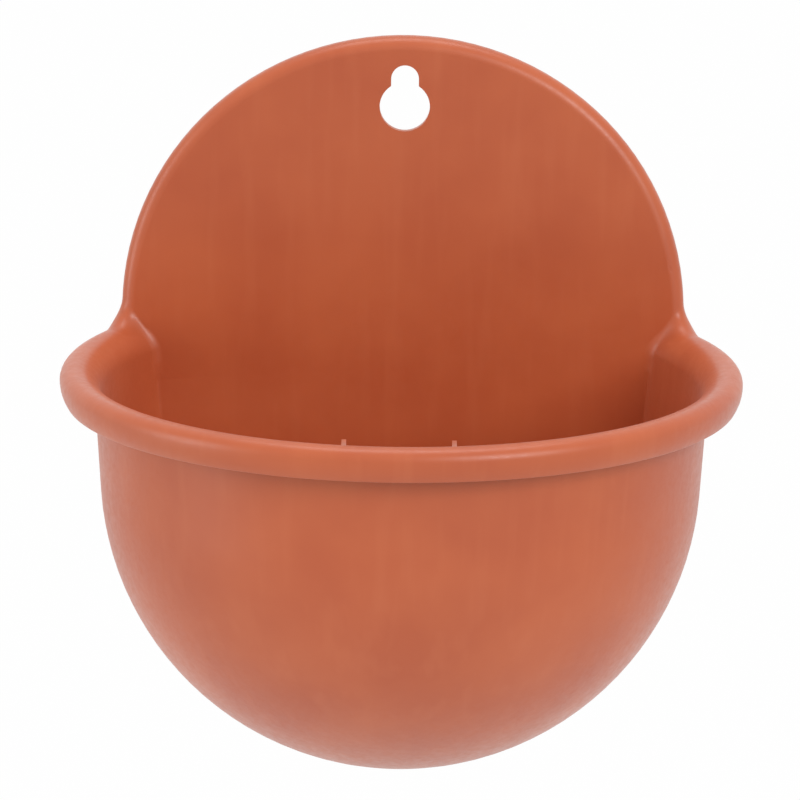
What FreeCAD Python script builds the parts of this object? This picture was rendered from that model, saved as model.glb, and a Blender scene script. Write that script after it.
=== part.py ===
"""Wall planter: one thin-walled moulding with a rolled rim, a lift-out drain grid and a drain plug.

Millimetres. X is to the right, Y points into the wall, Z is up. The origin is the centre of the
keyhole's round hole, in the plane of the back plate's front face.
"""
import FreeCAD, Part
import math
import os
import Sketcher

Vector = FreeCAD.Vector
Constraint = Sketcher.Constraint

DRIVING_SIZES = (
    # alias, value, what it is
    ("plate_top", 21.7, "top of the back plate above the round hole's centre"),
    ("plate_wall", 2.2, "thickness of the back plate"),
    ("plate_edge_round", 4.0, "radius of the plate's rounded front edge"),
    ("edge_depth", 5.0, "how far the turned-back edge holds the plate's front off the wall"),
    ("edge_wall", 2.0, "thickness of the turned-back edge"),
    ("axis_distance", 50.5, "bowl axis in front of the plate's front face"),
    ("bowl_radius", 92.4, "outer radius of the round bottom"),
    ("bowl_drop", 32.2, "centre of the round bottom below the rim's crest"),
    ("bowl_wall", 2.0, "wall thickness of the bowl and its rim"),
    ("wall_draft", 4.0, "flare of the bowl's upper wall, in degrees"),
    ("rim_level", 70.8, "crest of the rim below the round hole's centre"),
    ("rim_reach", 12.6, "how far the rim stands out past the round bottom's radius"),
    ("rim_round", 4.0, "radius of the rolled rim's outer side"),
    ("lip_drop", 10.4, "height of the rim's lip, from crest to lower edge"),
    ("lip_lean", 2.0, "how far the lip's lower edge draws in"),
    ("hem_round", 0.6, "radius of the outer edge of the lip's hem"),
    ("corner_blend", 2.0, "radius of the corner between plate and bowl, inside"),
    ("shoulder_blend", 8.0, "radius where the rim runs into the plate's outer side"),
    ("hole_radius", 7.8, "keyhole: round hole that passes the screw's head"),
    ("slot_radius", 4.3, "keyhole: half width of the slot that holds the screw"),
    ("slot_rise", 8.8, "keyhole: slot's end centre above the round hole's centre"),
    ("rib_spacing", 33.2, "distance between the middles of the two stacking ribs"),
    ("rib_wall", 1.4, "thickness of a stacking rib"),
    ("rib_reach", 9.4, "how far a stacking rib reaches in from the rim's crest"),
    ("rib_length", 42.0, "height of a stacking rib"),
    ("rib_recess", 0.3, "top of a stacking rib below the rim's crest"),
    ("drain_radius", 5.0, "drain hole in the bottom"),
    ("drain_seat", 9.6, "radius of the flat seat round the drain hole, under the bowl"),
    ("collar_rise", 2.0, "height of the collar round the drain hole, above the floor"),
    ("collar_wall", 2.0, "thickness of that collar"),
    ("plug_clearance", 0.1, "gap round the plug's stem"),
    ("plug_stem", 5.5, "length of the plug's stem, above its flange"),
    ("plug_wall", 1.5, "wall of the plug's hollow stem"),
    ("plug_bevel", 0.7, "bevel of the plug's edges"),
    ("plug_flange", 8.6, "radius of the plug's flange"),
    ("plug_flange_wall", 1.6, "thickness of the plug's flange"),
    ("plug_slot_width", 1.6, "width of the slot across the plug's flange"),
    ("plug_slot_depth", 0.8, "depth of that slot"),
    ("grid_height", 30.0, "top of the drain grid above the bowl's inner bottom"),
    ("grid_skirt", 7.0, "height of the grid's edge"),
    ("grid_wall", 1.8, "thickness of the grid"),
    ("grid_clearance", 0.3, "gap between the grid and the bowl"),
    ("grid_corner", 5.0, "radius of the grid's two back corners"),
    ("grid_slot_width", 3.2, "width of a slot in the grid"),
    ("grid_slot_length", 13.0, "length of a slot in the grid, with its round ends"),
    ("inner_slots_radius", 22.0, "middles of the inner ring of slots, from the bowl's axis"),
    ("outer_slots_radius", 39.5, "middles of the outer ring of slots, from the bowl's axis"),
    ("loop_radius", 10.0, "radius of the grid's finger loop, to the middle of its wire"),
    ("loop_wire", 1.9, "radius of the finger loop's wire"),
)

# How many slots the grid has in its two rings.
INNER_SLOTS = 10
OUTER_SLOTS = 20

document = FreeCAD.newDocument("wall_planter")
sheet = document.addObject("Spreadsheet::Sheet", "Sizes")
for row, (alias, number, meaning) in enumerate(DRIVING_SIZES, start=1):
    sheet.set("A%d" % row, alias)
    sheet.set("B%d" % row, str(number))
    sheet.set("C%d" % row, meaning)
    sheet.setAlias("B%d" % row, alias)
document.recompute()

# Sizes that follow from the driving ones, as expressions.
DRAFT = "(Sizes.wall_draft * 1deg)"
INNER_RADIUS = "(Sizes.bowl_radius - Sizes.bowl_wall)"
RIM_RADIUS = "(Sizes.bowl_radius + Sizes.rim_reach)"
CREST_RADIUS = f"({RIM_RADIUS} - Sizes.rim_round)"
# The rim's inner round touches the crest's level and the flared inner wall.
RIM_INNER_ROUND = (f"(({CREST_RADIUS} * cos{DRAFT} - Sizes.bowl_drop * sin{DRAFT} - {INNER_RADIUS})"
                   f" / (1 - sin{DRAFT}))")
# The plate's side edges rise from the rim's crest, where the crest meets the plate's front face.
PLATE_RADIUS = f"sqrt(pow({CREST_RADIUS}; 2) - pow(Sizes.axis_distance; 2))"
# How far down the rim's inner round ends and the flared wall begins.
ROUND_FOOT = f"(Sizes.rim_level + {RIM_INNER_ROUND} * (1 - sin{DRAFT}))"
BOWL_CENTRE_DROP = "(Sizes.rim_level + Sizes.bowl_drop)"
LIP_LEVEL = "(Sizes.rim_level + Sizes.lip_drop)"
# The bottom of the bowl, measured down from the keyhole: its floor, its flat seat and the grid.
FLOOR = f"({BOWL_CENTRE_DROP} + {INNER_RADIUS})"
SEAT = f"({BOWL_CENTRE_DROP} + sqrt(pow(Sizes.bowl_radius; 2) - pow(Sizes.drain_seat; 2)))"
GRID_TOP = f"({FLOOR} - Sizes.grid_height)"


def value(expression):
    """The number that an expression of the sheet's sizes gives now, angles in degrees."""
    result = sheet.evalExpression(expression)
    return float(getattr(result, "Value", result))


def origin_plane(body, role):
    return next(plane for plane in body.Origin.OriginFeatures if plane.Role == role)


def new_sketch(body, name, role, **offset):
    """A sketch on one of the body's origin planes, shifted by expressions along its own axes."""
    sketch = body.newObject("Sketcher::SketchObject", name)
    sketch.AttachmentSupport = (origin_plane(body, role), "")
    sketch.MapMode = "FlatFace"
    for axis, expression in offset.items():
        sketch.setExpression("AttachmentOffset.Base." + axis, expression)
    return sketch


def bind(sketch, constraint, expression):
    """Adds a dimension and ties it to the sheet."""
    index = sketch.addConstraint(constraint)
    sketch.setExpression(f"Constraints[{index}]", expression)


# How constraints name a piece's points, and the sketch's own axes and origin.
START, END, CENTRE = range(1, 4)
X_AXIS, Y_AXIS = range(-1, -3, -1)
ORIGIN = (X_AXIS, START)
# Two measures closer than this are the same.
TOLERANCE = 1e-4


def level(sketch, piece, end, drop):
    """Holds a point of a sketch at a distance below the sketch's origin."""
    bind(sketch, Constraint("DistanceY", piece, end, *ORIGIN, value(drop)), drop)


def offset_x(sketch, piece, end, distance):
    """Holds a point of a sketch at a distance to the right of the sketch's origin."""
    bind(sketch, Constraint("DistanceX", *ORIGIN, piece, end, value(distance)), distance)


class Outline:
    """A chain of lines and arcs, each joined to the end of the one before, smoothly or not."""

    def __init__(self, sketch, x, y):
        self.sketch = sketch
        self.first = None
        self.last = None
        self.here = Vector(x, y, 0)

    def _join(self, before, after, smooth):
        kind = "Tangent" if smooth else "Coincident"
        self.sketch.addConstraint(Constraint(kind, *before, *after))

    def _add(self, shape, begin, finish, smooth):
        index = self.sketch.addGeometry(shape, False)
        if self.last is None:
            self.first = (index, begin)
        else:
            self._join(self.last, (index, begin), smooth)
        self.last = (index, finish)
        return index

    def line(self, x, y, smooth=False):
        there = Vector(x, y, 0)
        index = self._add(Part.LineSegment(self.here, there), START, END, smooth)
        self.here = there
        return index

    def arc(self, centre_x, centre_y, x, y, clockwise=False, smooth=False):
        """An arc about a centre to a point. A sketch's arcs run anticlockwise, start to end."""
        centre = Vector(centre_x, centre_y, 0)
        there = Vector(x, y, 0)
        circle = Part.Circle(centre, Vector(0, 0, 1), (self.here - centre).Length)
        first, second = (there, self.here) if clockwise else (self.here, there)
        angles = [math.atan2(point.y - centre.y, point.x - centre.x) for point in (first, second)]
        ends = (END, START) if clockwise else (START, END)
        index = self._add(Part.ArcOfCircle(circle, *angles), *ends, smooth)
        self.here = there
        return index

    def close(self, smooth=False):
        self._join(self.last, self.first, smooth)


def plate_outline(sketch, radius, foot):
    """The plate's shape: a round top, and straight sides that run down to a foot line."""
    half_width = value(radius)
    centre_drop = f"({PLATE_RADIUS} - Sizes.plate_top)"
    centre_y = -value(centre_drop)
    foot_y = -value(foot)
    outline = Outline(sketch, half_width, centre_y)
    top = outline.arc(0, centre_y, -half_width, centre_y)
    left = outline.line(-half_width, foot_y, smooth=True)
    base = outline.line(half_width, foot_y)
    right = outline.line(half_width, centre_y)
    outline.close(smooth=True)
    for side in (left, right):
        sketch.addConstraint(Constraint("Vertical", side))
    sketch.addConstraint(Constraint("Horizontal", base))
    sketch.addConstraint(Constraint("PointOnObject", top, CENTRE, Y_AXIS))
    bind(sketch, Constraint("Radius", top, half_width), radius)
    level(sketch, top, CENTRE, centre_drop)
    level(sketch, base, START, foot)


def wall_turn(radius):
    """Where a bowl wall of some bottom radius turns from round to flared: (x, y) there."""
    draft = math.radians(value("Sizes.wall_draft"))
    return radius * math.cos(draft), -value(BOWL_CENTRE_DROP) - radius * math.sin(draft)


def flared_x(radius, y):
    """How far from the axis a wall of some bottom radius is at a height in its flared part."""
    turn_x, turn_y = wall_turn(radius)
    return turn_x + (y - turn_y) * math.tan(math.radians(value("Sizes.wall_draft")))


def hold_wall(sketch, round_part, flared_part, radius):
    """Ties a wall's round bottom and its flared line to the sheet."""
    sketch.addConstraint(Constraint("PointOnObject", round_part, CENTRE, Y_AXIS))
    level(sketch, round_part, CENTRE, BOWL_CENTRE_DROP)
    bind(sketch, Constraint("Radius", round_part, value(radius)), radius)
    steepness = "90deg - " + DRAFT
    bind(sketch, Constraint("Angle", flared_part, math.radians(value(steepness))), steepness)


def hold_on_axis(sketch, line):
    for end in (START, END):
        sketch.addConstraint(Constraint("PointOnObject", line, end, Y_AXIS))


def rectangle(sketch, left, bottom, right, top):
    """A rectangle between four expressions, each a distance from the sketch's origin."""
    x0, y0, x1, y1 = (value(side) for side in (left, bottom, right, top))
    outline = Outline(sketch, x0, y0)
    corners = ((x1, y0), (x1, y1), (x0, y1), (x0, y0))
    base, end, roof, start = (outline.line(*corner) for corner in corners)
    outline.close()
    for side in (base, roof):
        sketch.addConstraint(Constraint("Horizontal", side))
    for side in (end, start):
        sketch.addConstraint(Constraint("Vertical", side))
    bind(sketch, Constraint("DistanceX", *ORIGIN, base, START, x0), left)
    bind(sketch, Constraint("DistanceY", *ORIGIN, base, START, y0), bottom)
    bind(sketch, Constraint("DistanceX", *ORIGIN, roof, START, x1), right)
    bind(sketch, Constraint("DistanceY", *ORIGIN, roof, START, y1), top)


def trim_sketch(body):
    """All that lies outside the middle of the bowl's wall and below the middle of the rim."""
    sketch = new_sketch(body, "plate_trim_section", "YZ_Plane", x="-Sizes.axis_distance")
    middle = "(Sizes.bowl_radius - Sizes.bowl_wall / 2)"
    roll_drop = "(Sizes.rim_level + Sizes.rim_round)"
    far = f"(2 * {RIM_RADIUS})"
    foot = f"({BOWL_CENTRE_DROP} + 2 * Sizes.bowl_radius)"
    radius, far_x = value(middle), value(far)
    pole_y = -value(BOWL_CENTRE_DROP) - radius
    round_y, roll_y, foot_y = -value(ROUND_FOOT), -value(roll_drop), -value(foot)

    outline = Outline(sketch, 0, pole_y)
    round_part = outline.arc(0, pole_y + radius, *wall_turn(radius))
    flared_part = outline.line(flared_x(radius, round_y), round_y, smooth=True)
    slope = outline.line(value(CREST_RADIUS), roll_y)
    ledge = outline.line(far_x, roll_y)
    side = outline.line(far_x, foot_y)
    base = outline.line(0, foot_y)
    axis = outline.line(0, pole_y)
    outline.close()

    hold_wall(sketch, round_part, flared_part, middle)
    hold_on_axis(sketch, axis)
    for line in (ledge, base):
        sketch.addConstraint(Constraint("Horizontal", line))
    sketch.addConstraint(Constraint("Vertical", side))
    level(sketch, slope, START, ROUND_FOOT)
    level(sketch, ledge, START, roll_drop)
    level(sketch, base, START, foot)
    offset_x(sketch, ledge, START, CREST_RADIUS)
    offset_x(sketch, side, START, far)
    return sketch


def bowl_sketch(body):
    """Half a section of the bowl: its wall, and the rim as a solid roll with its lip's face."""
    sketch = new_sketch(body, "bowl_section", "YZ_Plane", x="-Sizes.axis_distance")
    outer, inner = value("Sizes.bowl_radius"), value(INNER_RADIUS)
    centre_y, crest_y, lip_y = -value(BOWL_CENTRE_DROP), -value("Sizes.rim_level"), -value(LIP_LEVEL)
    crest_x, widest_x = value(CREST_RADIUS), value(RIM_RADIUS)
    roll_y, lean = crest_y - value("Sizes.rim_round"), value("Sizes.lip_lean")
    lip_round = ((roll_y - lip_y) ** 2 + lean ** 2) / (2 * lean)
    rise, draft = value(RIM_INNER_ROUND), math.radians(value("Sizes.wall_draft"))
    touch = (crest_x - rise * math.cos(draft), crest_y - rise + rise * math.sin(draft))

    outline = Outline(sketch, 0, centre_y - outer)
    outer_round = outline.arc(0, centre_y, *wall_turn(outer))
    outer_flare = outline.line(flared_x(outer, lip_y), lip_y, smooth=True)
    hem = outline.line(widest_x - lean, lip_y)
    lip = outline.arc(widest_x - lip_round, roll_y, widest_x, roll_y)
    roll = outline.arc(crest_x, roll_y, crest_x, crest_y, smooth=True)
    outline.arc(crest_x, crest_y - rise, *touch, smooth=True)
    inner_flare = outline.line(*wall_turn(inner), smooth=True)
    inner_round = outline.arc(0, centre_y, 0, centre_y - inner, clockwise=True, smooth=True)
    axis = outline.line(0, centre_y - outer)
    outline.close()

    hold_wall(sketch, outer_round, outer_flare, "Sizes.bowl_radius")
    hold_on_axis(sketch, axis)
    sketch.addConstraint(Constraint("Coincident", inner_round, CENTRE, outer_round, CENTRE))
    bind(sketch, Constraint("Radius", inner_round, inner), INNER_RADIUS)
    sketch.addConstraint(Constraint("Parallel", inner_flare, outer_flare))
    sketch.addConstraint(Constraint("Horizontal", hem))
    level(sketch, hem, START, LIP_LEVEL)
    offset_x(sketch, hem, END, f"({RIM_RADIUS} - Sizes.lip_lean)")
    offset_x(sketch, lip, END, RIM_RADIUS)
    hold_roll(sketch, roll, "Sizes.rim_round", "Sizes.rim_level")
    return sketch


def hold_roll(sketch, roll, radius, top):
    """Ties the rim's outer quarter round: level with its centre at the start, above it at the end."""
    sketch.addConstraint(Constraint("Horizontal", roll, CENTRE, roll, START))
    sketch.addConstraint(Constraint("Vertical", roll, CENTRE, roll, END))
    bind(sketch, Constraint("Radius", roll, value(radius)), radius)
    level(sketch, roll, END, top)


def rim_hollow_sketch(body):
    """The channel under the rolled rim, one wall thickness inside the rim's surface."""
    sketch = new_sketch(body, "rim_hollow_section", "YZ_Plane", x="-Sizes.axis_distance")
    outer, wall = value("Sizes.bowl_radius"), value("Sizes.bowl_wall")
    crest_y, lip_y = -value("Sizes.rim_level"), -value(LIP_LEVEL)
    crest_x, widest_x = value(CREST_RADIUS), value(RIM_RADIUS) - wall
    roll_y, lean = crest_y - value("Sizes.rim_round"), value("Sizes.lip_lean")
    lip_round = ((roll_y - lip_y) ** 2 + lean ** 2) / (2 * lean)
    rise, draft = value(RIM_INNER_ROUND) - wall, math.radians(value("Sizes.wall_draft"))
    touch = (crest_x - rise * math.cos(draft), crest_y - wall - rise + rise * math.sin(draft))

    outline = Outline(sketch, flared_x(outer, lip_y), lip_y)
    mouth = outline.line(widest_x - lean, lip_y)
    lip = outline.arc(widest_x - lip_round, roll_y, widest_x, roll_y)
    roll = outline.arc(crest_x, roll_y, crest_x, crest_y - wall, smooth=True)
    inside = outline.arc(crest_x, crest_y - wall - rise, *touch, smooth=True)
    wall_side = outline.line(flared_x(outer, lip_y), lip_y, smooth=True)
    outline.close()

    sketch.addConstraint(Constraint("Horizontal", mouth))
    level(sketch, mouth, START, LIP_LEVEL)
    offset_x(sketch, mouth, END, f"({RIM_RADIUS} - Sizes.bowl_wall - Sizes.lip_lean)")
    offset_x(sketch, lip, END, f"({RIM_RADIUS} - Sizes.bowl_wall)")
    hold_roll(sketch, roll, "(Sizes.rim_round - Sizes.bowl_wall)", "(Sizes.rim_level + Sizes.bowl_wall)")
    radius = f"({RIM_INNER_ROUND} - Sizes.bowl_wall)"
    bind(sketch, Constraint("Radius", inside, rise), radius)
    steepness = "-90deg - " + DRAFT
    bind(sketch, Constraint("Angle", wall_side, math.radians(value(steepness))), steepness)
    return sketch


def keyhole_sketch(body):
    """A round hole, and a narrower slot that rises from it to a round end."""
    sketch = new_sketch(body, "keyhole_outline", "XZ_Plane")
    hole, slot, rise = (value("Sizes." + name) for name in ("hole_radius", "slot_radius", "slot_rise"))
    neck_y = math.sqrt(hole ** 2 - slot ** 2)
    outline = Outline(sketch, slot, neck_y)
    right = outline.line(slot, rise)
    top = outline.arc(0, rise, -slot, rise, smooth=True)
    left = outline.line(-slot, neck_y, smooth=True)
    round_hole = outline.arc(0, 0, slot, neck_y)
    outline.close()
    for side in (left, right):
        sketch.addConstraint(Constraint("Vertical", side))
    sketch.addConstraint(Constraint("Coincident", round_hole, CENTRE, *ORIGIN))
    sketch.addConstraint(Constraint("PointOnObject", top, CENTRE, Y_AXIS))
    bind(sketch, Constraint("Radius", round_hole, hole), "Sizes.hole_radius")
    bind(sketch, Constraint("Radius", top, slot), "Sizes.slot_radius")
    bind(sketch, Constraint("DistanceY", *ORIGIN, top, CENTRE, rise), "Sizes.slot_rise")
    return sketch


def rib_sketch(body):
    """Side view of a stacking rib: a flat top by the rim's crest, tapering down the front wall."""
    sketch = new_sketch(body, "rib_section", "YZ_Plane", x="-Sizes.axis_distance",
                        z="Sizes.rib_spacing / 2")
    top = "(Sizes.rim_level + Sizes.rib_recess)"
    foot = "(Sizes.rim_level + Sizes.rib_length)"
    crest = beside_axis(CREST_RADIUS)
    tip = beside_axis(f"({CREST_RADIUS} - Sizes.rib_reach)")
    wall_by_lip, wall_by_foot = (beside_axis(mid_wall_radius(drop)) for drop in (LIP_LEVEL, foot))
    outline = Outline(sketch, -value(crest), -value(top))
    roof = outline.line(-value(tip), -value(top))
    face = outline.line(-value(wall_by_foot), -value(foot))
    back = outline.line(-value(wall_by_lip), -value(LIP_LEVEL))
    outline.line(-value(crest), -value(top))
    outline.close()
    sketch.addConstraint(Constraint("Horizontal", roof))
    level(sketch, roof, START, top)
    level(sketch, face, END, foot)
    level(sketch, back, END, LIP_LEVEL)
    places = ((roof, START, crest), (roof, END, tip), (back, START, wall_by_foot), (back, END, wall_by_lip))
    for piece, end, distance in places:
        bind(sketch, Constraint("DistanceX", piece, end, *ORIGIN, value(distance)), distance)
    return sketch


def beside_axis(radius):
    """How far in front of the bowl's axis a radius is reached, in the plane of a stacking rib."""
    return f"sqrt(pow({radius}; 2) - pow(Sizes.rib_spacing / 2; 2))"


def mid_wall_radius(drop):
    """The radius of the middle of the bowl's flared wall, at a distance below the keyhole."""
    middle = "(Sizes.bowl_radius - Sizes.bowl_wall / 2)"
    return f"({middle} / cos{DRAFT} + ({BOWL_CENTRE_DROP} - {drop}) * tan{DRAFT})"


def circle(sketch, radius, x=None):
    """A circle about the sketch's origin, or at a distance to the right of it."""
    middle = Vector(value(x) if x else 0, 0, 0)
    index = sketch.addGeometry(Part.Circle(middle, Vector(0, 0, 1), value(radius)), False)
    if x:
        sketch.addConstraint(Constraint("PointOnObject", index, CENTRE, X_AXIS))
        offset_x(sketch, index, CENTRE, x)
    else:
        sketch.addConstraint(Constraint("Coincident", index, CENTRE, *ORIGIN))
    bind(sketch, Constraint("Radius", index, value(radius)), radius)


def edges_where(shape, test):
    """Names of the edges that pass a test, given the edge and the faces that meet in it."""
    return [f"Edge{number}" for number, edge in enumerate(shape.Edges, start=1)
            if test(edge, shape.ancestorsOfType(edge, Part.Face))]


def level_sketch(body, name, drop):
    """A level sketch at a distance below the keyhole, with its origin on the bowl's axis."""
    return new_sketch(body, name, "XY_Plane", y="-Sizes.axis_distance", z="-" + drop)


def bored(body, name, drop, radius):
    """A round cut on the bowl's axis, from a level down through all below it."""
    cut = body.newObject("PartDesign::Pocket", name)
    cut.Profile = level_sketch(body, name + "_outline", drop)
    circle(cut.Profile[0], radius)
    cut.Type = "ThroughAll"
    document.recompute()


def turned(body, kind, name, sketch):
    """A full turn of a section about the bowl's axis."""
    feature = body.newObject(kind, name)
    feature.Profile = sketch
    feature.ReferenceAxis = (sketch, ["V_Axis"])
    feature.Angle = 360
    document.recompute()
    return feature


def cut_behind(body, name, distance):
    """Cuts off all that reaches further back than a plane in front of the plate's front face."""
    cut = body.newObject("PartDesign::Pocket", name)
    cut.Profile = new_sketch(body, name + "_outline", "XZ_Plane", z=distance)
    far = f"(3 * {RIM_RADIUS})"
    rectangle(cut.Profile[0], "-" + far, "-" + far, far, far)
    cut.Type = "ThroughAll"
    document.recompute()


def is_turned(face):
    """A face of revolution about an upright axis, or of a ball."""
    surface = face.Surface
    if surface.TypeId == "Part::GeomSphere":
        return True
    is_round = surface.TypeId in ("Part::GeomCone", "Part::GeomToroid")
    return is_round and abs(surface.Axis.z) > 1 - TOLERANCE


def is_plate_front(face):
    """The plate's front, its rounded front edge or the outside of its turned-back edge."""
    surface = face.Surface
    if surface.TypeId == "Part::GeomCylinder":
        return abs(surface.Radius - value("Sizes.plate_edge_round")) < TOLERANCE
    if surface.TypeId != "Part::GeomPlane":
        return False
    along_y, along_x = (abs(part) > 1 - TOLERANCE for part in (surface.Axis.y, surface.Axis.x))
    front = along_y and abs(surface.Position.y) < TOLERANCE
    side = along_x and abs(abs(surface.Position.x) - value(PLATE_RADIUS)) < TOLERANCE
    return front or side


def is_plate_rim(edge, faces):
    """An edge of the plate's front face, apart from the one along its foot."""
    ends = [vertex.Point for vertex in edge.Vertexes]
    in_front = all(abs(point.y) < TOLERANCE for point in ends)
    along_foot = max(abs(point.z - face_foot(faces)) for point in ends) < TOLERANCE
    return in_front and not along_foot


def face_foot(faces):
    return min(vertex.Point.z for face in faces for vertex in face.Vertexes)


def is_blended(edge, faces):
    """An edge where the turned bowl or rim meets the front or outer side of the plate."""
    return any(is_turned(face) for face in faces) and any(is_plate_front(face) for face in faces)


def blend_radius(x):
    """The blend is tight on the plate's flat front, and wide from its rounded edge outwards."""
    front_end = value(PLATE_RADIUS) - value("Sizes.plate_edge_round")
    return value("Sizes.corner_blend" if abs(x) < front_end + TOLERANCE else "Sizes.shoulder_blend")


def blend_radii(shape):
    """For each blended edge its number, and the blend's radius at its start and at its end."""
    rows = []
    for name in edges_where(shape, is_blended):
        number = int(name[len("Edge"):])
        edge = shape.Edges[number - 1]
        ends = [edge.valueAt(place).x for place in (edge.FirstParameter, edge.LastParameter)]
        if edge.Orientation == "Reversed":
            ends.reverse()
        rows.append((number, *(blend_radius(x) for x in ends)))
    return rows


def is_hem(edge, faces):
    """The outer edge of the flat underside of the rim's lip."""
    radius, drop = value(f"({RIM_RADIUS} - Sizes.lip_lean)"), value(LIP_LEVEL)
    from_axis = [vertex.Point + Vector(0, value("Sizes.axis_distance"), drop) for vertex in edge.Vertexes]
    return all(abs(math.hypot(point.x, point.y) - radius) + abs(point.z) < TOLERANCE for point in from_axis)


def solid_shell():
    """The bowl, its plate and its ribs, with a solid rim and no holes yet."""
    body = document.addObject("PartDesign::Body", "solid_shell")

    # The plate as a block with a rounded front edge, hollow towards the wall.
    foot = f"({BOWL_CENTRE_DROP} + Sizes.bowl_radius)"
    block = body.newObject("PartDesign::Pad", "plate_block")
    block.Profile = new_sketch(body, "plate_outline", "XZ_Plane")
    plate_outline(block.Profile[0], PLATE_RADIUS, foot)
    block.Reversed = True
    block.setExpression("Length", "Sizes.edge_depth")
    document.recompute()

    edge_round = body.newObject("PartDesign::Fillet", "plate_edge_rounding")
    edge_round.Base = (block, edges_where(block.Shape, is_plate_rim))
    edge_round.setExpression("Radius", "Sizes.plate_edge_round")
    document.recompute()

    hollow = body.newObject("PartDesign::Pocket", "plate_hollow")
    hollow.Profile = new_sketch(body, "plate_hollow_outline", "XZ_Plane", z="-Sizes.edge_depth")
    plate_outline(hollow.Profile[0], f"({PLATE_RADIUS} - Sizes.edge_wall)", f"({foot} + Sizes.edge_wall)")
    hollow.Reversed = True
    hollow.setExpression("Length", "Sizes.edge_depth - Sizes.plate_wall")
    document.recompute()

    # Below the rim the plate ends inside the bowl's wall.
    turned(body, "PartDesign::Groove", "plate_trim", trim_sketch(body))
    turned(body, "PartDesign::Revolution", "bowl", bowl_sketch(body))

    cut_behind(body, "wall_side_cut", "-Sizes.edge_depth")

    rib = body.newObject("PartDesign::Pad", "stacking_rib")
    rib.Profile = rib_sketch(body)
    rib.Midplane = True
    rib.setExpression("Length", "Sizes.rib_wall")
    document.recompute()
    ribs = body.newObject("PartDesign::Mirrored", "stacking_ribs")
    ribs.Originals = [rib]
    ribs.MirrorPlane = (origin_plane(body, "YZ_Plane"), [""])
    body.Tip = ribs
    document.recompute()
    return body


def shell_body():
    # One blend runs up the inside corner, over the rim and round to the plate's outer side.
    blend = document.addObject("Part::Fillet", "rim_to_plate_blend")
    blend.Base = solid_shell()
    blend.Edges = blend_radii(blend.Base.Shape)
    document.recompute()

    body = document.addObject("PartDesign::Body", "planter_shell")
    body.Label = "planter_shell"
    body.BaseFeature = blend
    document.recompute()
    cut_behind(body, "wall_side_trim", "-Sizes.edge_depth")
    hollow = turned(body, "PartDesign::Groove", "rim_hollow", rim_hollow_sketch(body))

    hem = body.newObject("PartDesign::Fillet", "hem_rounding")
    hem.Base = (hollow, edges_where(hollow.Shape, is_hem))
    hem.setExpression("Radius", "Sizes.hem_round")
    document.recompute()

    keyhole = body.newObject("PartDesign::Pocket", "keyhole")
    keyhole.Profile = keyhole_sketch(body)
    keyhole.Midplane = True
    keyhole.setExpression("Length", "3 * Sizes.edge_depth")

    # The drain: a flat seat under the bowl, and a collar round the hole inside.
    bored(body, "drain_seat_flat", SEAT, "2 * Sizes.drain_seat")
    collar = body.newObject("PartDesign::Pad", "drain_collar")
    collar.Profile = level_sketch(body, "drain_collar_outline", SEAT)
    circle(collar.Profile[0], "Sizes.drain_radius + Sizes.collar_wall")
    collar.setExpression("Length", f"{SEAT} - {FLOOR} + Sizes.collar_rise")
    bored(body, "drain_hole", f"({FLOOR} - Sizes.collar_rise)", "Sizes.drain_radius")
    document.recompute()
    return body


def slot(sketch, middle, width, length):
    """A slot with round ends, along the sketch's upright axis."""
    half, reach = value(width) / 2, (value(length) - value(width)) / 2
    y = value(middle)
    outline = Outline(sketch, half, y + reach)
    far = outline.arc(0, y + reach, -half, y + reach)
    left = outline.line(-half, y - reach, smooth=True)
    near = outline.arc(0, y - reach, half, y - reach, smooth=True)
    right = outline.line(half, y + reach, smooth=True)
    outline.close(smooth=True)
    for side in (left, right):
        sketch.addConstraint(Constraint("Vertical", side))
    sketch.addConstraint(Constraint("PointOnObject", far, CENTRE, Y_AXIS))
    bind(sketch, Constraint("Radius", far, half), f"{width} / 2")
    for end, sign in ((far, "+"), (near, "-")):
        place = f"({middle} {sign} ({length} - {width}) / 2)"
        bind(sketch, Constraint("DistanceY", *ORIGIN, end, CENTRE, value(place)), place)


def ring_of_slots(body, name, radius, count):
    cut = body.newObject("PartDesign::Pocket", name + "_slot")
    cut.Profile = level_sketch(body, name + "_slot_outline", GRID_TOP)
    slot(cut.Profile[0], radius, "Sizes.grid_slot_width", "Sizes.grid_slot_length")
    cut.setExpression("Length", "2 * Sizes.grid_wall")
    ring = body.newObject("PartDesign::PolarPattern", name + "_slots")
    ring.Originals = [cut]
    ring.Axis = (cut.Profile[0], ["N_Axis"])
    ring.Angle = 360
    ring.Occurrences = count
    body.Tip = ring
    document.recompute()


GRID_BALL = f"({INNER_RADIUS} - Sizes.grid_clearance)"
GRID_FOOT = f"({GRID_TOP} + Sizes.grid_skirt)"


def width_at(radius, drop):
    """Half the width, at a level, of a circle of some radius about the round bottom's centre."""
    return math.sqrt(radius ** 2 - (value(BOWL_CENTRE_DROP) - value(drop)) ** 2)


def round_side(sketch, arc, radius):
    """Ties an arc of the grid's outline to the centre of the round bottom."""
    sketch.addConstraint(Constraint("PointOnObject", arc, CENTRE, Y_AXIS))
    level(sketch, arc, CENTRE, BOWL_CENTRE_DROP)
    bind(sketch, Constraint("Radius", arc, value(radius)), radius)


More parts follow.
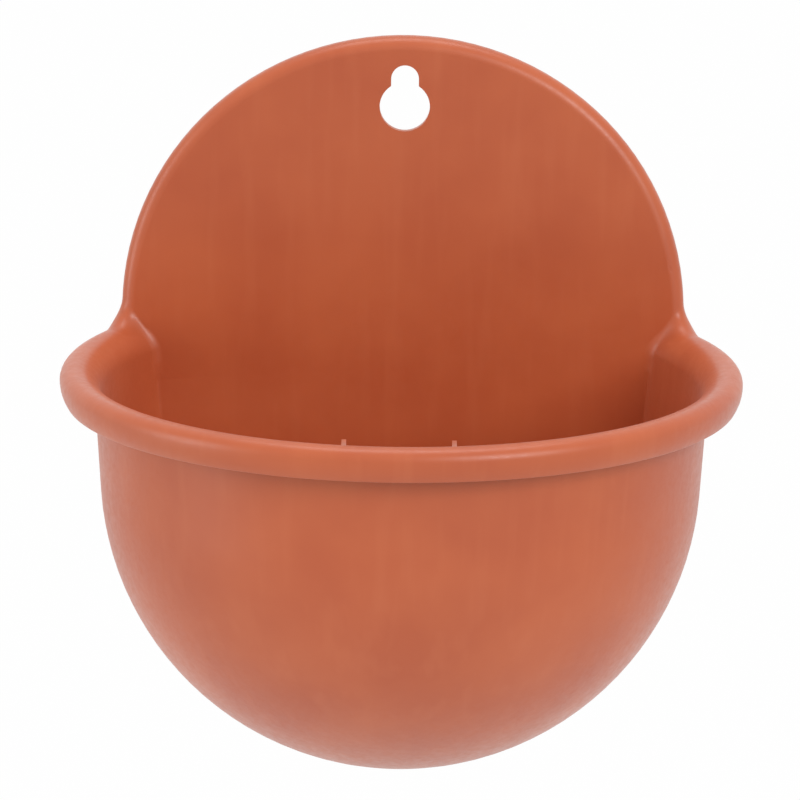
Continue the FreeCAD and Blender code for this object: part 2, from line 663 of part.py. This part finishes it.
def grid_section(body):
    """Half a section of the grid: a flat top, and a skirt that follows the bowl's round wall."""
    sketch = new_sketch(body, "grid_section", "YZ_Plane", x="-Sizes.axis_distance")
    inside = f"({GRID_BALL} - Sizes.grid_wall)"
    under = f"({GRID_TOP} + Sizes.grid_wall)"
    outer, inner, centre_y = value(GRID_BALL), value(inside), -value(BOWL_CENTRE_DROP)
    top_y, under_y, foot_y = -value(GRID_TOP), -value(under), -value(GRID_FOOT)

    outline = Outline(sketch, 0, top_y)
    axis = outline.line(0, under_y)
    ceiling = outline.line(width_at(inner, under), under_y)
    inner_side = outline.arc(0, centre_y, width_at(inner, GRID_FOOT), foot_y, clockwise=True)
    base = outline.line(width_at(outer, GRID_FOOT), foot_y)
    outer_side = outline.arc(0, centre_y, width_at(outer, GRID_TOP), top_y)
    top = outline.line(0, top_y)
    outline.close()

    hold_on_axis(sketch, axis)
    for line in (ceiling, base, top):
        sketch.addConstraint(Constraint("Horizontal", line))
    round_side(sketch, inner_side, inside)
    round_side(sketch, outer_side, GRID_BALL)
    for line, drop in ((top, GRID_TOP), (ceiling, under), (base, GRID_FOOT)):
        level(sketch, line, START, drop)
    return sketch


def grid_back_sketch(body):
    """The grid's straight side along the plate, between the round ends of its skirt."""
    sketch = new_sketch(body, "grid_back_outline", "XZ_Plane", z="Sizes.grid_clearance")
    radius = f"sqrt(pow({GRID_BALL}; 2) - pow(Sizes.axis_distance - Sizes.grid_clearance; 2))"
    centre_y, top_y, foot_y = -value(BOWL_CENTRE_DROP), -value(GRID_TOP), -value(GRID_FOOT)
    top_x, foot_x = (width_at(value(radius), drop) for drop in (GRID_TOP, GRID_FOOT))

    outline = Outline(sketch, -foot_x, foot_y)
    base = outline.line(foot_x, foot_y)
    right = outline.arc(0, centre_y, top_x, top_y)
    top = outline.line(-top_x, top_y)
    left = outline.arc(0, centre_y, -foot_x, foot_y)
    outline.close()

    for line, drop in ((base, GRID_FOOT), (top, GRID_TOP)):
        sketch.addConstraint(Constraint("Horizontal", line))
        level(sketch, line, START, drop)
    for arc in (right, left):
        round_side(sketch, arc, radius)
    return sketch


def is_grid_corner(edge, faces):
    """An upright corner where the grid's round skirt meets its straight back."""
    surfaces = [face.Surface for face in faces]
    on_ball = any(surface.TypeId == "Part::GeomSphere" and abs(surface.Radius - value(GRID_BALL)) < TOLERANCE
                  for surface in surfaces)
    on_back = any(surface.TypeId == "Part::GeomPlane" and abs(surface.Axis.y) > 1 - TOLERANCE
                  and abs(surface.Position.y + value("Sizes.grid_clearance")) < TOLERANCE
                  for surface in surfaces)
    return on_ball and on_back


def grid_body():
    body = document.addObject("PartDesign::Body", "drain_grid")
    body.Label = "drain_grid"
    turned(body, "PartDesign::Revolution", "dish", grid_section(body))

    cut_behind(body, "back_cut", "Sizes.grid_clearance")

    back = body.newObject("PartDesign::Pad", "straight_back")
    back.Profile = grid_back_sketch(body)
    back.setExpression("Length", "Sizes.grid_wall")
    document.recompute()

    corners = body.newObject("PartDesign::Fillet", "corner_rounding")
    corners.Base = (back, edges_where(back.Shape, is_grid_corner))
    corners.setExpression("Radius", "Sizes.grid_corner")
    document.recompute()

    ring_of_slots(body, "inner", "Sizes.inner_slots_radius", INNER_SLOTS)
    ring_of_slots(body, "outer", "Sizes.outer_slots_radius", OUTER_SLOTS)

    loop = body.newObject("PartDesign::Revolution", "finger_loop")
    loop.Profile = level_sketch(body, "finger_loop_section", f"({GRID_TOP} + Sizes.grid_wall / 2)")
    circle(loop.Profile[0], "Sizes.loop_wire", x="Sizes.loop_radius")
    loop.ReferenceAxis = (loop.Profile[0], ["V_Axis"])
    loop.Angle = 180
    loop.Reversed = True
    document.recompute()
    return body


def plug_section(body):
    """Half a section of the plug: a flange under the seat and a hollow stem through the hole."""
    sketch = new_sketch(body, "plug_section", "YZ_Plane", x="-Sizes.axis_distance")
    stem = "(Sizes.drain_radius - Sizes.plug_clearance)"
    bore = f"({stem} - Sizes.plug_wall)"
    bevel = "Sizes.plug_bevel"
    under = f"({SEAT} + Sizes.plug_flange_wall)"
    tip = f"({SEAT} - Sizes.plug_stem)"
    corners = (
        ("0", under),
        (f"(Sizes.plug_flange - {bevel})", under),
        ("Sizes.plug_flange", f"({under} - {bevel})"),
        ("Sizes.plug_flange", SEAT),
        (stem, SEAT),
        (stem, f"({tip} + {bevel})"),
        (f"({stem} - {bevel})", tip),
        (bore, tip),
        (bore, SEAT),
        ("0", SEAT),
    )
    outline = Outline(sketch, *(value(corners[0][0]), -value(corners[0][1])))
    lines = [outline.line(value(x), -value(drop)) for x, drop in corners[1:] + corners[:1]]
    outline.close()
    for line, (x, drop) in zip(lines, corners):
        if x == "0":
            sketch.addConstraint(Constraint("PointOnObject", line, START, Y_AXIS))
        else:
            offset_x(sketch, line, START, x)
        level(sketch, line, START, drop)
    return sketch


def plug_body():
    body = document.addObject("PartDesign::Body", "drain_plug")
    body.Label = "drain_plug"
    turned(body, "PartDesign::Revolution", "plug", plug_section(body))
    cut = body.newObject("PartDesign::Pocket", "plug_slot")
    cut.Profile = level_sketch(body, "plug_slot_outline",
                               f"({SEAT} + Sizes.plug_flange_wall - Sizes.plug_slot_depth)")
    rectangle(cut.Profile[0], "-Sizes.plug_slot_width / 2", "-2 * Sizes.plug_flange",
              "Sizes.plug_slot_width / 2", "2 * Sizes.plug_flange")
    cut.Type = "ThroughAll"
    document.recompute()
    return body


def check(bodies):
    for item in document.Objects:
        if "Invalid" in item.State or "Error" in item.State:
            raise RuntimeError(f"{item.Label} failed: {item.State}")
    for body in bodies:
        if body.Shape.isNull() or not body.Shape.isValid() or len(body.Shape.Solids) != 1:
            raise RuntimeError(f"{body.Label} is not one valid solid")


planter_bodies = [shell_body(), grid_body(), plug_body()]
document.recompute()
check(planter_bodies)
os.makedirs("parts", exist_ok=True)
for body in planter_bodies:
    body.Shape.exportStep(f"parts/{body.Label}.step")
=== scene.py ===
"""Looks of the wall planter: its plastics, a plain white floor, soft light and the photograph's view.

Metres, in the part's own frame: +X to the right, +Y into the wall, +Z up, and the origin at the
centre of the keyhole's round hole, in the plane of the back plate's front face.
"""
import math

import bmesh
import bpy
import numpy as np
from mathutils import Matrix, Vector


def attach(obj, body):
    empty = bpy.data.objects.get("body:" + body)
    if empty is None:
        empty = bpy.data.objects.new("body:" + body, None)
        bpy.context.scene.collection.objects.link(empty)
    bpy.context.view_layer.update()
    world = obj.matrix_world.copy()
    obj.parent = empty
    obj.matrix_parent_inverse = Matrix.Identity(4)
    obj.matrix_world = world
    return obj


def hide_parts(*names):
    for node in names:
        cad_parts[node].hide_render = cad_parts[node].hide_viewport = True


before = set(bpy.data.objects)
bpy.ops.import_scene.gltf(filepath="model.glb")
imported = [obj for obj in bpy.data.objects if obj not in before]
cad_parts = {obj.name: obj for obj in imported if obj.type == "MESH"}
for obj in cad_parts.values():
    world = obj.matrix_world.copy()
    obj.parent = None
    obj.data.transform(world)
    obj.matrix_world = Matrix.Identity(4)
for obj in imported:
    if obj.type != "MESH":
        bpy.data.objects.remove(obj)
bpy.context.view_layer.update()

# How strongly the white surroundings light the object, next to how white they look.
AMBIENT = 0.657

# The floor: its size and place, the grey that it reflects, and how much of it looks plain white.
FLOOR_SIDE = 30
FLOOR_PLACE = (0, 4, -0.9)
FLOOR_PAINT = (0.8, 0.8, 0.8, 1)
FLOOR_WHITENESS = 0.985
WHITE = (1, 1, 1, 1)

# The photograph's view: a long lens, seen from slightly above, straight on, rolled a little.
PHOTO_SIDE = 800
VIEW_ELEVATION = math.radians(13.95)
VIEW_AZIMUTH = math.radians(0.3)
VIEW_ROLL = math.radians(0.55)
VIEW_DISTANCE = 3.738
LENS = 540.0
SENSOR = 36.0
NEAREST, FARTHEST = 0.1, 100
# A point in the plate's front, level with the side of the rim, and the pixel where it is seen.
SIGHTED_POINT = Vector((0, 0, -0.07556))
SIGHTED_PIXEL = (402.5, 343.6)

# The plastics. The scales of their patterns are in lumps per metre.
TERRACOTTA = (0.510, 0.112, 0.037, 1)
TERRACOTTA_DEEP = (0.465, 0.093, 0.030, 1)
TERRACOTTA_PALE = (0.570, 0.150, 0.060, 1)
RUBBER = (0.05, 0.045, 0.042, 1)
RUBBER_DEEP = (0.03, 0.028, 0.027, 1)
RUBBER_PALE = (0.07, 0.065, 0.06, 1)
STREAK_STRETCH = (1.0, 1.0, 0.12)
GRAIN_SHARE = 0.05
BUMP_HEIGHT = 0.00012
REFRACTION = 1.49
SHEEN, SHEEN_ROUGHNESS = 0.15, 0.35

# The moulding's sizes, as the CAD has them.
AXIS_Y = -0.0505
PLATE_TOP = 0.0217
PLATE_ROUND = 0.004
CREST_RADIUS = 0.101
CREST_Z = -0.0708
ROLL_ROUND = 0.004
LIP_HEIGHT = 0.0064
LIP_LEAN = 0.002
BOWL_CENTRE_Z = -0.103
BOWL_RADIUS = 0.0924
WALL = 0.002
DRAFT = math.radians(4)
PLATE_RADIUS = math.sqrt(CREST_RADIUS ** 2 - AXIS_Y ** 2)
LIP_ROUND = (LIP_HEIGHT ** 2 + LIP_LEAN ** 2) / (2 * LIP_LEAN)
INNER_ROUND = ((CREST_RADIUS * math.cos(DRAFT) + (BOWL_CENTRE_Z - CREST_Z) * math.sin(DRAFT)
                - BOWL_RADIUS + WALL) / (1 - math.sin(DRAFT)))
# The lamps: name, place, width, height and watts. Each is aimed at the same point.
LAMP_AIM = Vector((0, AXIS_Y, -0.09))
LAMPS = (
    ("key", (1.3, -1.8, 0.9), 1.0, 1.0, 24.3),
    ("top", (0, 0.2, 1.8), 1.4, 0.8, 12.3),
    ("side", (-1.9, -0.6, 0.1), 0.8, 1.4, 12),
)

# The right shoulder, where the rim runs up into the plate: how far round it the mesh is fitted, over
# what width the fit fades out, and the longest edge there. The left one is its mirror image.
SHOULDER = Vector((0.084, -0.002, -0.070))
SHOULDER_REACH = 0.020
SHOULDER_FADE = 0.005
SHOULDER_STEP = 0.0009
# The blend's radius is tight in the bowl and grows outwards, between two distances from the middle.
BLEND_TIGHT, BLEND_WIDE = 0.0020, 0.0085
BLEND_START, BLEND_END = 0.0795, 0.0875
# How far below and above the fitted skin the CAD's front surface can lie; its back is further below.
SKIN_DEPTH, SKIN_DEPTH_OUTSIDE, SKIN_HEIGHT = 0.0008, 0.0060, 0.0060
# How the mesh is moved onto the skin: passes, share of the distance in each, and the least cosine
# between a vertex's normal and the skin's.
SETTLING_PASSES = 12
SETTLING_SHARE = 0.8
LEAST_FACING = 0.25
# What counts as one point, as lying in the wall plane and as lying on a surface, and the length
# over which a surface's slope is measured.
SAME_POINT = 1e-6
WALL_PLANE_GAP = 1e-5
SURFACE_GAP = 2e-5
SLOPE_STEP = 1e-6
TINY = 1e-9
# An edge is sharp from this angle on, and a facet's corner takes the exact normal from this cosine on.
SHARP_ANGLE = math.radians(35)
LEAST_LIKENESS = 0.8


class Nodes:
    """A short way to make shader nodes and join them."""

    def __init__(self, tree):
        self.tree = tree
        tree.nodes.clear()

    def add(self, kind, values=None, **settings):
        node = self.tree.nodes.new("ShaderNode" + kind)
        for name, setting in settings.items():
            setattr(node, name, setting)
        for name, value in (values or {}).items():
            self.feed(node.inputs[name], value)
        return node

    def feed(self, socket, value):
        """Joins a node's input to another node's output, or gives it a plain value."""
        if isinstance(value, bpy.types.NodeSocket):
            self.tree.links.new(value, socket)
        else:
            socket.default_value = value

    def noise(self, place, scale, detail, roughness=0.5):
        """Noise from 0 to 1; scale is how many of its lumps fit in a metre."""
        values = {"Vector": place, "Scale": scale, "Detail": detail, "Roughness": roughness}
        return self.add("TexNoise", values).outputs["Fac"]

    def math(self, operation, first, second):
        return self.add("Math", {0: first, 1: second}, operation=operation).outputs[0]

    def spread(self, value, low, high, new_low=0.0, new_high=1.0):
        """Maps low..high to new_low..new_high, and holds it there outside."""
        values = {"Value": value, "From Min": low, "From Max": high,
                  "To Min": new_low, "To Max": new_high}
        return self.add("MapRange", values).outputs["Result"]

    def mix(self, share, first, second):
        """A colour between two others; share is how much of the second it has."""
        node = self.add("Mix", data_type="RGBA")
        inputs = {socket.name: socket for socket in node.inputs if socket.enabled}
        for name, value in (("Factor", share), ("A", first), ("B", second)):
            self.feed(inputs[name], value)
        return next(socket for socket in node.outputs if socket.enabled)

    def finish(self, kind, result):
        """Joins a material's or world's result to its output."""
        self.add(kind, {"Surface": result})


def new_material(name):
    material = bpy.data.materials.new(name)
    material.use_nodes = True
    return material, Nodes(material.node_tree)


def moulded_plastic(name, base, deep, pale, roughness):
    """Satin moulded plastic: cloudy pigment, flow streaks, a fine spark-eroded grain and faint scuffs."""
    material, nodes = new_material(name)
    place = nodes.add("TexCoord").outputs["Object"]

    clouds = nodes.noise(place, scale=28, detail=3)
    cloudy = nodes.mix(nodes.spread(clouds, low=0.35, high=0.65), deep, base)

    # Flow streaks run up from the gate at the bottom of the bowl, along the wall.
    stretched = nodes.add("Mapping", {"Vector": place, "Scale": STREAK_STRETCH}).outputs["Vector"]
    streaks = nodes.noise(stretched, scale=160, detail=2)
    streaked = nodes.mix(nodes.spread(streaks, low=0.52, high=0.75, new_high=0.22), cloudy, pale)

    specks = nodes.noise(place, scale=2600, detail=1)
    speckled = nodes.mix(nodes.spread(specks, low=0.70, high=0.80, new_high=0.35), streaked, deep)

    grain = nodes.noise(place, scale=3800, detail=2)
    waves = nodes.noise(place, scale=45, detail=1)
    height = nodes.math("ADD", nodes.math("MULTIPLY", grain, GRAIN_SHARE), waves)
    bump = nodes.add("Bump", {"Height": height, "Distance": BUMP_HEIGHT, "Strength": 1.0})

    scuffs = nodes.noise(place, scale=420, detail=4, roughness=0.7)
    rough = nodes.spread(scuffs, low=0.35, high=0.75, new_low=roughness - 0.05, new_high=roughness + 0.09)

    shader = nodes.add("BsdfPrincipled", {
        "Base Color": speckled,
        "Roughness": rough,
        "IOR": REFRACTION,
        "Sheen Weight": SHEEN,
        "Sheen Roughness": SHEEN_ROUGHNESS,
        "Normal": bump.outputs["Normal"],
    })
    nodes.finish("OutputMaterial", shader.outputs["BSDF"])
    return material


def seen_or_reflected(nodes):
    """1 for what the camera sees itself, in gloss or through glass, and 0 for the light it casts."""
    path = nodes.add("LightPath").outputs
    shiny = nodes.math("MAXIMUM", path["Is Glossy Ray"], path["Is Transmission Ray"])
    return nodes.math("MAXIMUM", path["Is Camera Ray"], shiny)


def floor_material():
    """Pale to the object and its light, and white to the eye, with the object's shadow kept."""
    material, nodes = new_material("pale_floor")
    paint = nodes.add("BsdfDiffuse", {"Color": FLOOR_PAINT})
    glow = nodes.add("Emission", {"Color": WHITE, "Strength": 1.0})
    share = nodes.math("MULTIPLY", seen_or_reflected(nodes), FLOOR_WHITENESS)
    mixed = nodes.add("MixShader", {0: share, 1: paint.outputs[0], 2: glow.outputs[0]})
    nodes.finish("OutputMaterial", mixed.outputs[0])
    return material


def plate_field(x, y, z):
    """Distance from the plate's front and rounded edge, below 0 in the plate."""
    middle_z = PLATE_TOP - PLATE_RADIUS
    beside = np.where(z > middle_z, np.hypot(x, z - middle_z), np.abs(x))
    across = beside - PLATE_RADIUS + PLATE_ROUND
    behind = PLATE_ROUND - y
    corner = np.hypot(np.maximum(across, 0), np.maximum(behind, 0))
    return corner - PLATE_ROUND + np.minimum(np.maximum(across, behind), 0)


def wall_field(x, y, z, radius):
    """Distance out from a bowl surface of some bottom radius, below 0 inside it."""
    out, up = np.hypot(x, y - AXIS_Y), z - BOWL_CENTRE_Z
    flared = out * math.cos(DRAFT) - up * math.sin(DRAFT) - radius
    return np.where(up > -out * math.tan(DRAFT), flared, np.hypot(out, up) - radius)


def rim_field(x, y, z):
    """Distance from the rim and the bowl's inner wall, below 0 in the moulding."""
    out = np.hypot(x, y - AXIS_Y)
    roll_z, inner_z = CREST_Z - ROLL_ROUND, CREST_Z - INNER_ROUND
    roll = np.hypot(out - CREST_RADIUS, z - roll_z) - ROLL_ROUND
    lip_out = CREST_RADIUS + ROLL_ROUND - LIP_ROUND
    lip = np.hypot(out - lip_out, z - roll_z) - LIP_ROUND
    inner = np.hypot(out - CREST_RADIUS, z - inner_z) - INNER_ROUND
    wall = -wall_field(x, y, z, BOWL_RADIUS - WALL)
    outside = np.where(z > roll_z, roll, lip)
    inside = np.where(z - inner_z > (CREST_RADIUS - out) * math.tan(DRAFT), inner, wall)
    return np.where(out > CREST_RADIUS, outside, inside)


def front_field(x, y, z):
    """The plate and the rim as one skin, with the growing blend between them."""
    share = np.clip((np.abs(x) - BLEND_START) / (BLEND_END - BLEND_START), 0, 1)
    blend = BLEND_TIGHT + (BLEND_WIDE - BLEND_TIGHT) * share * share * (3 - 2 * share)
    plate, rim = plate_field(x, y, z), rim_field(x, y, z)
    rounded = np.hypot(np.maximum(blend - plate, 0), np.maximum(blend - rim, 0))
    return np.maximum(blend, np.minimum(plate, rim)) - rounded


def slope(field, places):
    """The direction in which a field grows fastest at each place."""
    columns = []
    for axis in range(3):
        shift = np.zeros(3)
        shift[axis] = SLOPE_STEP
        columns.append((field(*(places + shift).T) - field(*(places - shift).T)) / (2 * SLOPE_STEP))
    gradient = np.stack(columns, axis=1)
    return gradient / np.maximum(np.linalg.norm(gradient, axis=1, keepdims=True), TINY)


def near_shoulder(first, second):
    """Whether the stretch between two points comes near either shoulder."""
    along = second - first
    for side in (-1, 1):
        middle = Vector((side * SHOULDER.x, SHOULDER.y, SHOULDER.z))
        share = (middle - first).dot(along) / along.length_squared
        nearest = first + along * min(max(share, 0), 1)
        if (nearest - middle).length < SHOULDER_REACH:
            return True
    return False


def split_triangle(corners, middles):
    """The triangles that a triangle becomes when some of its sides have a middle point."""
    # It is turned until its sides with a middle point come first.
    cut = [middle is not None for middle in middles]
    while cut != sorted(cut, reverse=True):
        corners, middles, cut = corners[1:] + corners[:1], middles[1:] + middles[:1], cut[1:] + cut[:1]
    (a, b, c), (ab, bc, ca) = corners, middles
    if ab is None:
        return [(a, b, c)]
    if bc is None:
        return [(a, ab, c), (ab, b, c)]
    if ca is None:
        return [(ab, b, bc), (a, ab, bc), (a, bc, c)]
    return [(a, ab, ca), (ab, b, bc), (ca, bc, c), (ab, bc, ca)]


def refined(points, triangles):
    """The triangles after the long edges near the shoulders are halved until all there are short.

    The points in the middle of halved edges are added to points.
    """
    kept = []
    while triangles:
        middles = {}
        longer = []
        for corners in triangles:
            sides = []
            for first, second in zip(corners, corners[1:] + corners[:1]):
                key = (min(first, second), max(first, second))
                if key not in middles:
                    middles[key] = None
                    start, end = points[first], points[second]
                    if (end - start).length > SHOULDER_STEP and near_shoulder(start, end):
                        middles[key] = len(points)
                        points.append((start + end) / 2)
                sides.append(middles[key])
            pieces = split_triangle(corners, tuple(sides))
            (longer if len(pieces) > 1 else kept).extend(pieces)
        triangles = longer
    return kept


def vertex_places(mesh):
    places = np.empty(len(mesh.vertices) * 3)
    mesh.vertices.foreach_get("co", places)
    return places.reshape(-1, 3)


def settle_on_skin(mesh):
    """Moves what faces outwards near the shoulders onto the front skin; the rear edge keeps its Y."""
    places = vertex_places(mesh)
    facing = np.array([vertex.normal for vertex in mesh.vertices])
    beside = np.abs(places[:, 0])
    mirrored = np.stack([beside, places[:, 1], places[:, 2]], axis=1)
    apart = np.linalg.norm(mirrored - np.array(SHOULDER), axis=1)
    height = front_field(*places.T)
    depth = np.interp(beside, (BLEND_START, BLEND_END), (SKIN_DEPTH, SKIN_DEPTH_OUTSIDE))
    chosen = np.nonzero((apart < SHOULDER_REACH) & (height > -depth) & (height < SKIN_HEIGHT))[0]
    likeness = np.sum(facing[chosen] * slope(front_field, places[chosen]), axis=1)
    chosen = chosen[likeness > LEAST_FACING]
    before = places[chosen]
    at_wall = before[:, 1] > places[:, 1].max() - WALL_PLANE_GAP
    here = before
    for _ in range(SETTLING_PASSES):
        push = slope(front_field, here)
        push[at_wall, 1] = 0
        here = here - SETTLING_SHARE * front_field(*here.T)[:, None] * push
    # What moves fades to nothing at the edge of the fitted part.
    fade = np.clip((SHOULDER_REACH - apart[chosen]) / SHOULDER_FADE, 0, 1)[:, None]
    places[chosen] = before + fade * (here - before)
    mesh.vertices.foreach_set("co", places.ravel())
    mesh.update()


def outer_wall_field(x, y, z):
    return wall_field(x, y, z, BOWL_RADIUS)


def true_normals(mesh):
    """Shades the turned and blended surfaces by their exact slopes instead of by their facets."""
    corners = np.empty(len(mesh.loops) * 3)
    mesh.corner_normals.foreach_get("vector", corners)
    corners = corners.reshape(-1, 3)
    owners = np.empty(len(mesh.loops), dtype=int)
    mesh.loops.foreach_get("vertex_index", owners)
    places = vertex_places(mesh)[owners]
    for field in (front_field, outer_wall_field):
        exact = slope(field, places)
        likeness = np.sum(exact * corners, axis=1)
        fits = (np.abs(field(*places.T)) < SURFACE_GAP) & (likeness > LEAST_LIKENESS)
        corners[fits] = exact[fits]
    mesh.normals_split_custom_set(corners.tolist())


def skin_mesh(source):
    """A copy of a mesh, in one piece, with fine and fitted shoulders."""
    shape = bmesh.new()
    shape.from_mesh(source)
    bmesh.ops.remove_doubles(shape, verts=shape.verts, dist=SAME_POINT)
    bmesh.ops.triangulate(shape, faces=shape.faces)
    shape.verts.index_update()
    points = [vertex.co.copy() for vertex in shape.verts]
    triangles = [tuple(vertex.index for vertex in face.verts) for face in shape.faces]
    shape.free()
    triangles = refined(points, triangles)
    mesh = bpy.data.meshes.new("shell_skin")
    mesh.from_pydata(points, [], triangles)
    mesh.update()
    settle_on_skin(mesh)
    return mesh


def make_skin():
    """The moulding as it is seen: the CAD's mesh with its two shoulders shaped as in the photograph."""
    mesh = skin_mesh(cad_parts["planter_shell"].data)
    for polygon in mesh.polygons:
        polygon.use_smooth = True
    mesh.set_sharp_from_angle(angle=SHARP_ANGLE)
    true_normals(mesh)
    mesh.materials.append(shell_plastic)
    skin = bpy.data.objects.new("shell_skin", mesh)
    bpy.context.scene.collection.objects.link(skin)
    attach(skin, "shell")
    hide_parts("planter_shell")


def dress(node, material):
    """Gives a CAD node one material."""
    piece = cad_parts[node]
    piece.data.materials.clear()
    piece.data.materials.append(material)
    for polygon in piece.data.polygons:
        polygon.material_index = 0


def make_floor():
    bpy.ops.mesh.primitive_plane_add(size=FLOOR_SIDE, location=FLOOR_PLACE)
    floor = bpy.context.object
    floor.name = "floor"
    floor.data.materials.append(floor_material())


def make_world():
    world = bpy.data.worlds.new("studio")
    bpy.context.scene.world = world
    world.use_nodes = True
    nodes = Nodes(world.node_tree)
    strength = nodes.spread(seen_or_reflected(nodes), low=0, high=1, new_low=AMBIENT)
    background = nodes.add("Background", {"Color": WHITE, "Strength": strength})
    nodes.finish("OutputWorld", background.outputs[0])


def softbox(name, place, width, height, watts):
    """A rectangular lamp, aimed at the middle of the object."""
    light = bpy.data.lights.new(name, "AREA")
    light.shape = "RECTANGLE"
    light.size = width
    light.size_y = height
    light.energy = watts
    lamp = bpy.data.objects.new(name, light)
    bpy.context.scene.collection.objects.link(lamp)
    lamp.location = place
    lamp.rotation_euler = (LAMP_AIM - Vector(place)).to_track_quat("-Z", "Y").to_euler()


def make_camera():
    data = bpy.data.cameras.new("photo_view")
    data.lens = LENS
    data.sensor_width = SENSOR
    data.clip_start, data.clip_end = NEAREST, FARTHEST
    camera = bpy.data.objects.new("photo_view", data)
    bpy.context.scene.collection.objects.link(camera)
    bpy.context.scene.camera = camera

    level_right = Vector((math.cos(VIEW_AZIMUTH), math.sin(VIEW_AZIMUTH), 0))
    level_ahead = Vector((-math.sin(VIEW_AZIMUTH), math.cos(VIEW_AZIMUTH), 0))
    ahead = math.cos(VIEW_ELEVATION) * level_ahead - Vector((0, 0, math.sin(VIEW_ELEVATION)))
    level_up = level_right.cross(ahead)
    right = math.cos(VIEW_ROLL) * level_right + math.sin(VIEW_ROLL) * level_up
    up = right.cross(ahead)
    pixel = SENSOR / LENS / PHOTO_SIDE * VIEW_DISTANCE
    across, above = SIGHTED_PIXEL[0] - PHOTO_SIDE / 2, PHOTO_SIDE / 2 - SIGHTED_PIXEL[1]
    aim = SIGHTED_POINT - pixel * (across * right + above * up)
    turn = camera.matrix_world.to_3x3()
    turn.col[0], turn.col[1], turn.col[2] = right, up, -ahead
    camera.matrix_world = turn.to_4x4()
    camera.location = aim - VIEW_DISTANCE * ahead


shell_plastic = moulded_plastic("shell_plastic", TERRACOTTA, TERRACOTTA_DEEP, TERRACOTTA_PALE, 0.38)
grid_plastic = moulded_plastic("grid_plastic", TERRACOTTA_DEEP, TERRACOTTA_DEEP, TERRACOTTA, 0.45)
plug_rubber = moulded_plastic("plug_rubber", RUBBER, RUBBER_DEEP, RUBBER_PALE, 0.6)

make_skin()
dress("drain_grid", grid_plastic)
dress("drain_plug", plug_rubber)
make_floor()
make_world()
for lamp in LAMPS:
    softbox(*lamp)
make_camera()

bpy.context.scene.view_settings.view_transform = "Standard"
